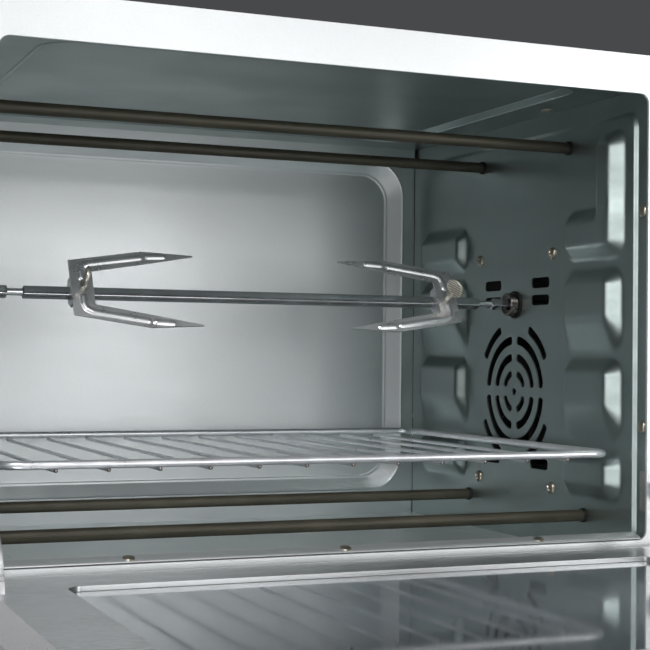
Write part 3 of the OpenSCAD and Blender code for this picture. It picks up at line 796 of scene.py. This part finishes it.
def ceiling():
    loops = step_loops(0, 153, inner=(342, 264), outer=(355, 277), r_in=16, r_out=22,
                       d_in=3, d_out=0, edge=(-HALF_W - 2, HALF_W + 2, -JAMB, DEPTH), n=10)
    pressed_panel("ceiling", loops, lambda x, y, d: (x, y, HEIGHT + d), "chamber_ceiling",
                  M["chamber"], "chamber_steel", 1.0)


def floor_sheet():
    loops = step_loops(0, 160, inner=(321, 236), outer=(367, 262), r_in=14, r_out=24,
                       d_in=-3, d_out=0, edge=(-HALF_W, HALF_W, 0, DEPTH), n=10)
    pressed_panel("floor_sheet", loops, lambda x, y, d: (x, y, d), "chamber_floor",
                  M["floor"], "chamber_steel", -1.0)
    # front upstand, folded forward over the frame
    lip = [(0, 0), (-0.4, 0.8), (-0.4, 17.5), (-0.6, 19.4), (-1.6, 20.3), (-3.0, 20.1), (-7.5, 18.6),
           (-9.2, 17.9), (-9.8, 17.0)]
    xs = (-HALF_W + 0.5, HALF_W - 1.5)
    verts = [(x, y, z) for y, z in lip for x in xs]
    obj = new_piece("floor_lip", verts, grid_faces(len(lip), 2), chamber, 80)
    thicken(obj, SHEET, 0)
    bevel(obj, 0.2, 2, 60)
    finish_piece(obj, M["frame"], "oven", "chamber_steel")


back_wall()
ceiling()
floor_sheet()

# ---------- Heaters ----------

ROD_R = 4
ROD_PAST_WALL = 14
ROD_CHAMFER = 0.4


def heater(node):
    y, z = RODS[node]
    end = HALF_W + ROD_PAST_WALL
    tip = end - ROD_CHAMFER
    profile = [(x, ROD_R) for x in (-tip, -HALF_W, -100, 0, 100, HALF_W, tip)]
    profile = [(-end, ROD_R - ROD_CHAMFER)] + profile + [(end, ROD_R - ROD_CHAMFER)]
    obj = lathe(node + "_rod", profile, (0, y, z), (1, 0, 0), n=32)
    finish_piece(obj, M["rod"], "oven", "heater_sheath", node)


for rod_node in RODS:
    heater(rod_node)


def collars():
    """The turned collars that hold the rods in the side walls."""
    parts = []
    for side in (-1, 1):
        for y, z in RODS.values():
            profile = [(-2.0, 4.02), (-2.0, 4.4), (-1.8, 4.7), (-1.4, 4.88), (-0.5, 4.9), (0.0, 4.9),
                       (0.0, 4.5), (3.8, 4.45), (3.8, 4.02)]
            parts.append(lathe("collar", profile, (side * HALF_W, y, z), (side, 0, 0), n=32))
    obj = join("heater_collars_turned", parts)
    soften(obj, 35)
    finish_piece(obj, M["collar"], "oven", "collar", "heater_collars")


collars()

# ---------- Spit ----------


def on_spit(p):
    """Row position of a point in the spit's own frame: along it, out of the fork plates, up them."""
    c, s = math.cos(SPIT_TURN), math.sin(SPIT_TURN)
    y, z = p[1], p[2]
    return chamber((p[0], SPIT[0] + c * y + s * z, SPIT[1] - s * y + c * z))


FLAT = 6.5
EASED_CORNER = 0.55
ROUND_STEPS = 32


def section(kind, size):
    """Closed section across the spit: a circle or an eased square, both from the same corner on."""
    if kind == "square":
        return rounded_rect(0, 0, size, size, EASED_CORNER, ROUND_STEPS // 4 - 1)
    first = math.atan2(-FLAT / 2, FLAT / 2 - EASED_CORNER)
    turns = [first + TAU * i / ROUND_STEPS for i in range(ROUND_STEPS)]
    return [(size / 2 * math.cos(a), size / 2 * math.sin(a)) for a in turns]


def spit_rod():
    """The square bar, with two round necks and a round journal. Stations are (place, kind, size)."""
    neck, journal = 4.8, 6.0
    stations = [(-201.5, "round", 4.4), (-200.7, "round", 5.8), (-200, "round", journal),
                (-184, "round", journal), (-183.5, "square", 5.6), (-182.9, "square", FLAT),
                (-171.1, "square", FLAT), (-170.5, "square", 5.4), (-170.4, "round", neck),
                (-160.6, "round", neck), (-160.5, "square", 5.4), (-159.9, "square", FLAT),
                (-80, "square", FLAT), (0, "square", FLAT), (90, "square", FLAT), (174.9, "square", FLAT),
                (175.5, "square", 5.4), (175.6, "round", neck), (186.4, "round", neck),
                (186.5, "square", 5.4), (187.1, "square", FLAT), (203.9, "square", FLAT),
                (204.5, "square", 5.6)]
    verts = []
    for x, kind, size in stations:
        verts += [(x, a, b) for a, b in section(kind, size)]
    faces = grid_faces(len(stations), ROUND_STEPS, wrap=True)
    last = (len(stations) - 1) * ROUND_STEPS
    faces += [tuple(reversed(range(ROUND_STEPS))), tuple(last + k for k in range(ROUND_STEPS))]
    obj = new_piece("spit_bar", verts, faces, on_spit, 40)
    tidy_normals(obj)
    soften(obj, 40)
    finish_piece(obj, M["chrome"], "spit", "chrome", "spit_rod")


spit_rod()


def socket():
    """The drive socket around the spit's end and the ring that it turns in."""
    front = (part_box("spit_socket")[0].x - MID_X) / MM
    lip = [(1.9, 4.6), (1.6, 6.2), (0.5, 6.6), (0.05, 6.9), (0, 7.6), (0.15, 8.1), (0.6, 8.5), (1.2, 8.6)]
    profile = ([(206.2, 0.1), (206.2, 4.5)] + [(front + d, r) for d, r in lip]
               + [(204.4, 8.6), (204.9, 8.2), (204.9, 6.02), (214.4, 6), (214.4, 0.1)])
    obj = lathe("drive_socket", profile, (0, 0, 0), (1, 0, 0), on_spit, 48)
    finish_piece(obj, M["socket"], "spit", "socket_steel", "spit_socket")
    ring = [(-1.5, 6.06), (-1.5, 9.6), (-1.2, 10.0), (-0.5, 10.2), (0, 10.1), (0, 7), (4.8, 7),
            (5, 6.8), (5, 6.06)]
    obj = lathe("bearing_ring", ring + ring[:1], (HALF_W, SPIT[0], SPIT[1]), (1, 0, 0), n=48)
    finish_piece(obj, M["collar"], "oven", "collar", "spit_bearing")


socket()

FORK_LEFT = centre("fork_screw_left")[0]
FORK_RIGHT = centre("fork_screw_right")[0]
FORK_RISE = 1.2
FORK_SHEET = 1.2
PLATE_OUT = 5.4
# Corners of the plate's outer and inner edge, along the spit from the thumbscrew and across it
FORK_OUTER = ((80.3, 27.9), (44, 29.8), (-7, 21.0), (-7, -21.0), (44, -29.8), (80.3, -27.9))
FORK_INNER = ((80.3, 27.3), (42, 19.5), (8, 13.0), (8, -13.0), (42, -19.5), (80.3, -27.3))
# Middle lines of the beads on one prong
BEADS = (((0.5, 7.5), (0.5, 12.5), (2.0, 16.4), (6, 18.7), (42, 24.7)), ((47.6, 25.6), (58.6, 26.3)))
BEAD_HALF = 2.5
BEAD_RISE = 0.95


def to_bead(u, v):
    """Distance of a point on a fork's plate from the middle of its nearest bead."""
    nearest = 99.0
    for path in BEADS:
        for (ax, ay), (bx, by) in zip(path, path[1:]):
            span = (bx - ax) ** 2 + (by - ay) ** 2
            t = max(0.0, min(1.0, ((u - ax) * (bx - ax) + (abs(v) - ay) * (by - ay)) / span))
            nearest = min(nearest, math.hypot(u - ax - t * (bx - ax), abs(v) - ay - t * (by - ay)))
    return nearest


def fork(name, x0, flip, body, node):
    """A stamped fork: a flat U with beads raised along its prongs and two ears around the spit."""
    strips = []
    cols = 24
    step = 0.8
    for k in range(5):
        (ax, az), (bx, bz) = FORK_OUTER[k], FORK_OUTER[k + 1]
        (cx, cz), (dx, dz) = FORK_INNER[k], FORK_INNER[k + 1]
        steps = max(2, int(math.hypot(bx - ax, bz - az) / step))
        for i in range(steps + (1 if k == 4 else 0)):
            t = i / steps
            outer = (ax + (bx - ax) * t, az + (bz - az) * t)
            strips.append((outer, (cx + (dx - cx) * t, cz + (dz - cz) * t)))
    verts = []
    for outer, inner in strips:
        for j in range(cols + 1):
            s = j / cols
            u = outer[0] + (inner[0] - outer[0]) * s
            v = outer[1] + (inner[1] - outer[1]) * s
            rise = 1 - float(smooth_step(np.array(to_bead(u, v)), 0.3, BEAD_HALF))
            verts.append((x0 + flip * u, -PLATE_OUT - BEAD_RISE * rise, v + FORK_RISE))
    plate = new_piece(name + "_plate", verts, grid_faces(len(strips), cols + 1), on_spit, 50)
    tidy_normals(plate)
    thicken(plate, FORK_SHEET, 0)
    bevel(plate, 0.3, 3, 60, even=False)
    ears = []
    outline = [(-5.0, 10), (-5.0, -10), (1, -10.4), (5.4, -5.5), (6.4, -3), (6.4, 3), (5.4, 5.5), (1, 10.4)]
    flat, tris = perforated(outline, [rounded_rect(0, 0, 6.7, 6.7, 0.4, 2)])
    for u in (-7, 8 - FORK_SHEET):
        x = x0 + flip * (u + FORK_SHEET / 2)
        ear = new_piece(name + "_ear", [(x, a, b) for a, b in flat], tris, on_spit, 50)
        tidy_normals(ear)
        thicken(ear, FORK_SHEET, 0)
        bevel(ear, 0.2, 2, 60, even=False)
        ears.append(ear)
    for o in [plate] + ears:
        o.data.materials.append(M["fork"])
    obj = join(name, [plate] + ears)
    soften(obj, 45)
    finish_piece(obj, M["fork"], body, "chrome", node)


fork("stamped_fork_left", FORK_LEFT, 1, "left_fork", "fork_left")
fork("stamped_fork_right", FORK_RIGHT, -1, "right_fork", "fork_right")

HEAD_R = 7.2
HEAD_OUT = 20.5
HEAD_HALF = 1.1
GROOVE = 0.3
GROOVE_PITCH = 1.9
GROOVED_R = 0.9 * HEAD_R


def thumbscrew(name, x0, turn, body, node):
    """A thumbscrew whose flat round head is turned about the shank, with grooved faces."""
    c, s = math.cos(math.radians(turn)), math.sin(math.radians(turn))

    def place(p):
        across, outward, normal = p
        return on_spit((x0 + c * across - s * normal, -outward, s * across + c * normal))

    rings, n = 26, 96
    half = [(HEAD_R * 0.93 * i / rings, HEAD_HALF) for i in range(1, rings + 1)]
    rim = [(HEAD_R * 0.97, HEAD_HALF * 0.93), (HEAD_R, HEAD_HALF * 0.6)]
    top = half + rim
    profile = top + [(r, -h) for r, h in reversed(top)]
    verts = []
    for r, h in profile:
        for k in range(n):
            a = TAU * k / n
            across, out = r * math.cos(a), r * math.sin(a)
            cut = 0.0
            if r < GROOVED_R:
                phase = TAU * (across * 0.5 + out * 0.866) / GROOVE_PITCH
                cut = GROOVE * (0.5 + 0.5 * math.cos(phase))
            side = 1 if h > 0 else -1
            verts.append((across, HEAD_OUT + out, h - side * cut))
    faces = grid_faces(len(profile), n, wrap=True)
    faces += [tuple(range(n)), tuple((len(profile) - 1) * n + k for k in range(n))]
    head = new_piece(name + "_head", verts, faces, place, 40)
    head.data.materials.append(M["thumb"])
    head.data.materials.append(M["groove"])
    # faces deep in the grooves take the darker groove copy, as painted shade
    for poly in head.data.polygons:
        depths = [HEAD_HALF - abs(verts[i][2]) for i in poly.vertices]
        inner = all(math.hypot(verts[i][0], verts[i][1] - HEAD_OUT) < HEAD_R * 0.92
                    for i in poly.vertices)
        if inner and len(poly.vertices) == 4 and sum(depths) / 4 > GROOVE * 0.62:
            poly.material_index = 1
    tidy_normals(head)
    thread = [(3.35, 0.1), (3.35, 1.6)]
    thread_pitch = 0.7
    d = 3.8
    while d < 11:
        thread += [(d, 2.0), (d + thread_pitch / 2, 1.65)]
        d += thread_pitch
    thread += [(11.5, 2.0), (11.7, 2.75), (13.6, 2.75), (15.2, 2.0), (15.4, 0.1)]
    shank = lathe(name + "_shank", thread, (x0, 0, 0), (0, -1, 0), on_spit, 32, 30)
    shank.data.materials.append(M["thumb"])
    obj = join(name, [head, shank])
    soften(obj, 38)
    finish_piece(obj, M["thumb"], body, "thumbscrew", node)


thumbscrew("thumbscrew_left", FORK_LEFT, 76, "left_fork_screw", "fork_screw_left")
thumbscrew("thumbscrew_right", FORK_RIGHT, 118, "right_fork_screw", "fork_screw_right")

# ---------- Wire rack ----------

RACK_X = -1.7
RACK_HALF = 199.3
RACK_CORNER = 14
RACK_FRONT = 14
RACK_BACK = 311
RACK_Z = 70
RAIL_R = 2.5
WIRE_R = 1.25
WIRE_COUNT = 12
WIRE_PITCH = 30.3
WIRE_DROP = 3.35
WIRE_PAST_RAIL = 1.4


def rack():
    """Two-way wire rack: a closed rail with straight wires welded under it."""
    loop = rounded_rect(RACK_X, (RACK_FRONT + RACK_BACK) / 2, 2 * RACK_HALF, RACK_BACK - RACK_FRONT,
                        RACK_CORNER, 12)
    parts = [tube("rail", [(x, y, RACK_Z) for x, y in loop], RAIL_R, 24, closed=True)]
    stops = (RACK_FRONT - WIRE_PAST_RAIL, RACK_FRONT + 40, 160, RACK_BACK - 40, RACK_BACK + WIRE_PAST_RAIL)
    front = chamber((0, RACK_FRONT, 0))[1]
    for i in range(WIRE_COUNT):
        x = RACK_X + (i - (WIRE_COUNT - 1) / 2) * WIRE_PITCH
        wire = tube("wire", [(x, y, RACK_Z - WIRE_DROP) for y in stops], WIRE_R, 16)
        wire.data.materials.append(M["rack"])
        wire.data.materials.append(M["socket"])
        for poly in wire.data.polygons:
            # the end under the front rail gets the dark socket steel, as painted shade from the rail above
            # it
            if poly.center.y < front:
                poly.material_index = 1
        parts.append(wire)
    obj = join("chrome_rack", parts)
    soften(obj, 50)
    finish_piece(obj, M["rack"], "rack", "chrome", "wire_rack")


rack()

# ---------- Fasteners ----------


def screw_head(place, axis, d, h, cross=True):
    """A domed head: a screw's with a cross recess, or a rivet's with a shallow dimple."""
    axis = Vector(axis).normalized()
    side = axis.orthogonal().normalized()
    up = axis.cross(side)
    base = Vector(place)
    rings, n, rim = 12, 32, 0.5
    arm_half = 0.066 * d
    verts = [tuple(base + axis * (h - (0.45 if cross else 0.1125) * h))]
    for i in range(1, rings + 1):
        q = i / rings
        for k in range(n):
            a = TAU * k / n
            r = d / 2 * q
            z = rim + (h - rim) * math.sqrt(max(0, 1 - q * q * 0.98))
            if cross:
                x, y = r * math.cos(a), r * math.sin(a)
                arm = min(max(abs(x) - arm_half, 0), max(abs(y) - arm_half, 0))
                if max(abs(x), abs(y)) < d * 0.28 and arm < 0.12:
                    z -= h * 0.42
            elif q < 0.3:
                z -= h * 0.12 * (1 - q / 0.3)
            verts.append(tuple(base + side * (r * math.cos(a)) + up * (r * math.sin(a)) + axis * z))
    for k in range(n):
        a = TAU * k / n
        verts.append(tuple(base + side * (d / 2 * math.cos(a)) + up * (d / 2 * math.sin(a))))
    faces = [(0, 1 + (k + 1) % n, 1 + k) for k in range(n)]
    for i in range(rings):
        for k in range(n):
            a, b = 1 + i * n + k, 1 + i * n + (k + 1) % n
            faces.append((a, b, b + n, a + n))
    faces.append(tuple(1 + rings * n + k for k in range(n)))
    obj = new_piece("head", verts, faces, chamber, 40)
    tidy_normals(obj)
    soften(obj, 40)
    return obj


def fasteners():
    heads = [screw_head((HALF_W, y, z), (-1, 0, 0), 8.5, 2.4) for y in (101, 206.5) for z in (40, 207)]
    finish_piece(join("wall_screw_heads", heads), M["screw"], "oven", "fastener", "wall_screws")
    rivets = [screw_head((s * (HALF_W + JOGGLE), -4.9, z), (-s, 0, 0), 8, 2.0, False)
              for s in (-1, 1) for z in (88.6, 228)]
    rivets += [screw_head((s * 198.5, y, HEIGHT), (0, 0, -1), 8, 1.6, False)
               for s in (-1, 1) for y in (97, 250)]
    rivets += [screw_head((x, -6.3, 18.9), (0, -0.3, 1), 7, 1.5, False) for x in (-131.5, 0, 131.5)]
    finish_piece(join("chamber_rivet_heads", rivets), M["screw"], "oven", "fastener", "chamber_rivets")
    hanger = [screw_head((-HALF_W + 1.2, SPIT[0] + s * 24, SPIT[1]), (1, 0, 0), 8, 2.0) for s in (-1, 1)]
    finish_piece(join("hanger_screw_heads", hanger), M["screw"], "oven", "fastener", "hanger_screws")


fasteners()

# ---------- Casing, door and works, on the CAD's own surfaces with eased edges ----------

# Material and edge rounding in mm of each node that is drawn from its own surfaces
EASED = {
    "outer_shell": ("casing", 0.25), "back_cover": ("casing", 0.4), "base_plate": ("casing", 0.25),
    "feet": ("rubber", 1.0), "front_frame": ("frame", 0.6), "control_panel": ("panel", 0.8),
    "heater_terminals": ("ceramic", 0.3), "drive_shaft": ("socket", 0.3),
    # the motor bracket, spacers and fan parts take the near-black steel as painted shade behind the grille
    "rotisserie_motor": ("motor", 0.8), "motor_bracket": ("dark", 0.2),
    "bracket_spacers": ("dark", 0.3), "spit_hanger": ("plated", 0.3),
    "fan_wheel": ("dark", 0.15), "fan_shaft": ("socket", 0.3), "fan_housing": ("dark", 0.25),
    "fan_motor": ("motor", 0.8), "door_frame": ("door", 0.3), "door_inner_panel": ("door", 0.25),
    "door_glass": ("glass", 0.4), "door_handle": ("bar", 1.2), "handle_posts": ("black", 0.5),
    "handle_screws": ("screw", 0.3), "hinge_bushes": ("bush", 0.4), "door_stays": ("door", 0.4),
    "stay_guides": ("plated", 0.5), "hinge_brackets": ("plated", 0.4), "hinge_pins": ("socket", 0.4),
    "function_knob": ("black", 0.7), "temperature_knob": ("black", 0.7), "timer_knob": ("black", 0.7),
    "function_switch": ("switch", 0.8), "thermostat": ("switch", 0.8), "timer": ("switch", 0.8),
    "indicator_lamp": ("lamp", 0.4), "cord_bushing": ("black", 0.8), "cover_screws": ("screw", 0.3),
}
SLOTS = {s["node"]: s["material_slot"] for s in frame["record"]["subparts"]}
BODY = {n: b for b, ns in frame["record"]["behaviour"]["bodies"].items() for n in ns}


def paint_shade_inside(obj, inner, material):
    """Puts the material on the faces that look towards the inner point, as painted shade."""
    obj.data.materials.append(material)
    for poly in obj.data.polygons:
        if poly.normal.dot(inner - poly.center) > 0:
            poly.material_index = 1


# A point among the motors, in the row's frame
WORKS = Vector((0.25, 0.02, 0.22))

for eased_node, (key, width) in EASED.items():
    piece = from_cad(eased_node, eased_node + "_eased", width)
    finish_piece(piece, M[key], BODY[eased_node], SLOTS[eased_node], eased_node)
    # painted shade: the casing's and cover's inner faces are made near-black
    if eased_node in ("outer_shell", "back_cover"):
        paint_shade_inside(piece, WORKS, M["dark"])

DIALS = {"function_knob": (240, 5), "temperature_knob": (270, 11), "timer_knob": (330, 12)}
TICK_FROM = 26
TICK_TO = 31.5
LONG_TICK_TO = 33
TICK_HALF = 0.5
FIRST_TICK_HALF = 0.9
# A tick's back and front, as heights over the panel's face
TICK_DEPTHS = (-0.2, 0.08)


def dial_marks():
    """Plain ticks around each knob, over the turn that it has."""
    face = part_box("control_panel")[0].y / MM
    parts = []
    for dial, (turn, count) in DIALS.items():
        low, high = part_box(dial)
        x, z = (low.x + high.x) / 2 / MM, (low.z + high.z) / 2 / MM
        for k in range(count):
            a = math.radians(turn * k / (count - 1))
            half = TICK_HALF if k else FIRST_TICK_HALF
            end = TICK_TO if k % 5 else LONG_TICK_TO
            corners = ((TICK_FROM, -half), (TICK_FROM, half), (end, half), (end, -half))
            sin_a, cos_a = math.sin(a), math.cos(a)
            flat = [(x + r * sin_a + w * cos_a, z + r * cos_a - w * sin_a) for r, w in corners]
            verts = [(u, face - d, v) for d in TICK_DEPTHS for u, v in flat]
            faces = [(0, 1, 2, 3), (7, 6, 5, 4), (0, 4, 5, 1), (1, 5, 6, 2), (2, 6, 7, 3), (3, 7, 4, 0)]
            parts.append(new_piece("tick", verts, faces, lambda p: tuple(c * MM for c in p)))
            tidy_normals(parts[-1])
    finish_piece(join("dial_marks", parts), M["mark"], "oven", "black_plastic")


dial_marks()

# ---------- Stage, light and camera ----------


def stage():
    """A pale floor and a weak even sky."""
    bpy.ops.mesh.primitive_plane_add(size=8, location=(0, 0, 0))
    floor = bpy.context.object
    floor.name = "floor"
    n = Nodes("floor_white")
    cloud = n.noise(3, 2)
    tone = n.ramp(cloud, (0.3, (0.74, 0.74, 0.74)), (0.7, (0.78, 0.78, 0.78)))
    n.set(Base_Color=tone, Roughness=0.6)
    floor.data.materials.append(n.material)
    world = bpy.data.worlds.new("studio")
    bpy.context.scene.world = world
    world.use_nodes = True
    background = world.node_tree.nodes["Background"]
    background.inputs["Color"].default_value = (0.92, 0.95, 1.0, 1)
    background.inputs["Strength"].default_value = 0.07


def softbox(name, place, size, power, target=(0, 0, 0.2)):
    """A rectangular area light at the place, in metres, that faces the target."""
    light = bpy.data.lights.new(name, "AREA")
    light.shape = "RECTANGLE"
    light.size, light.size_y = size
    light.energy = power
    obj = link(bpy.data.objects.new(name, light))
    obj.location = place
    obj.rotation_euler = (Vector(target) - Vector(place)).to_track_quat("-Z", "Y").to_euler()


def camera():
    """The view from low in front and to the left, straight into the chamber."""
    place = (-352.8, -806, 133.5)
    yaw, pitch, roll = 0.4000, 0.0196, 0.0102
    away = Vector((math.sin(yaw) * math.cos(pitch), math.cos(yaw) * math.cos(pitch), math.sin(pitch)))
    right = Vector((math.cos(yaw), -math.sin(yaw), 0))
    up = right.cross(away)
    across = right * math.cos(roll) + up * math.sin(roll)
    rise = up * math.cos(roll) - right * math.sin(roll)
    data = bpy.data.cameras.new("view")
    data.sensor_width = 36
    data.lens = 81.91
    obj = link(bpy.data.objects.new("view", data))
    turn = Matrix((across, rise, -away)).transposed()
    obj.matrix_world = Matrix.Translation(chamber(place)) @ turn.to_4x4()
    bpy.context.scene.camera = obj


stage()
softbox("top_box", (-0.6, -1.7, 1.75), (0.8, 0.95), 35)
softbox("left_box", (-2.15, -0.8, 0.5), (0.9, 0.95), 10, (0, -0.1, 0.2))
softbox("half_left_box", (-1.5, -1.8, 0.5), (0.4, 0.95), 2)
softbox("front_box", (0.45, -2.3, 0.5), (0.55, 0.95), 5.5)
softbox("right_box", (1.4, -1.9, 0.5), (0.55, 0.95), 7.5)
softbox("rear_box", (0.9, 2.2, 1.5), (1.6, 1.2), 40)
camera()
bpy.context.scene.view_settings.view_transform = "Standard"
